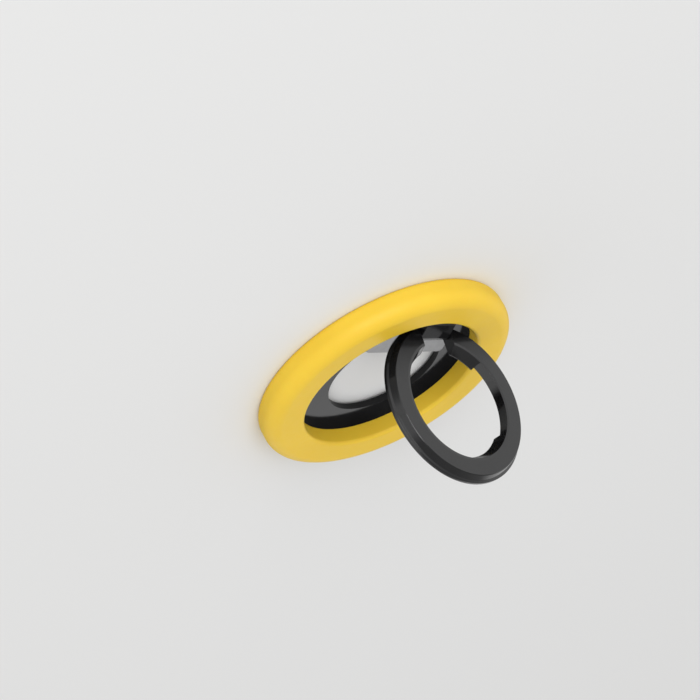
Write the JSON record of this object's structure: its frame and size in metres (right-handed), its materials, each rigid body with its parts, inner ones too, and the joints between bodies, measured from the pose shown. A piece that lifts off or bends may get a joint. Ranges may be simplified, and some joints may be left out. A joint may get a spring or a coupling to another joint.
{
  "type": "phone ring holder",
  "caption": "Round magnetic holder with a soft yellow silicone pad, a glossy black well with a hole, and a hinged finger ring that folds in and serves as a stand.",
  "frame": {"origin": "centre of the back face, on the surface that the holder rests on", "axes": "+Z out of the back face through the pad; hinge axis along X on the +Y side; the open ring stands up from the well"},
  "size_m": [0.0582, 0.0582, 0.0375],
  "materials": {
    "pad_silicone": "soft matte silicone, warm yellow",
    "contact_film": "matte black film",
    "base_plastic": "matte moulded black",
    "tray_gloss": "glossy black",
    "bracket_finish": "glossy black lacquer on zinc",
    "ring_finish": "glossy black lacquer on zinc",
    "plate_satin": "satin steel sheet",
    "plain_steel": "plain steel",
    "magnet_plating": "nickel plating",
    "sleeve_polymer": "natural polymer",
    "adhesive": "black adhesive film"
  },
  "bodies": {
    "base": {"silicone_pad": "pad_silicone", "contact_film": "contact_film", "base_ring": "base_plastic", "shunt_ring": "plain_steel", "tray_adhesive": "adhesive", "hinge_tray": "tray_gloss", "hinge_plate": "plate_satin", "hinge_bracket": "bracket_finish", "bracket_screws": "plain_steel", "friction_sleeve": "sleeve_polymer", "hinge_washer_left": "plain_steel", "hinge_washer_right": "plain_steel", "magnet_01": "magnet_plating", "magnet_02": "magnet_plating", "magnet_03": "magnet_plating", "magnet_04": "magnet_plating", "magnet_05": "magnet_plating", "magnet_06": "magnet_plating", "magnet_07": "magnet_plating", "magnet_08": "magnet_plating", "magnet_09": "magnet_plating", "magnet_10": "magnet_plating", "magnet_11": "magnet_plating", "magnet_12": "magnet_plating", "magnet_13": "magnet_plating", "magnet_14": "magnet_plating", "magnet_15": "magnet_plating", "magnet_16": "magnet_plating"},
    "ring": {"stand_ring": "ring_finish", "hinge_pin": "plain_steel"}
  },
  "joints": [
    {"name": "ring_hinge", "type": "hinge", "parent": "base", "child": "ring", "pos_m": [0, 0.0159, 0.00435], "axis": [-1, 0, 0], "range_deg": [-77.2, 36]}
  ]
}
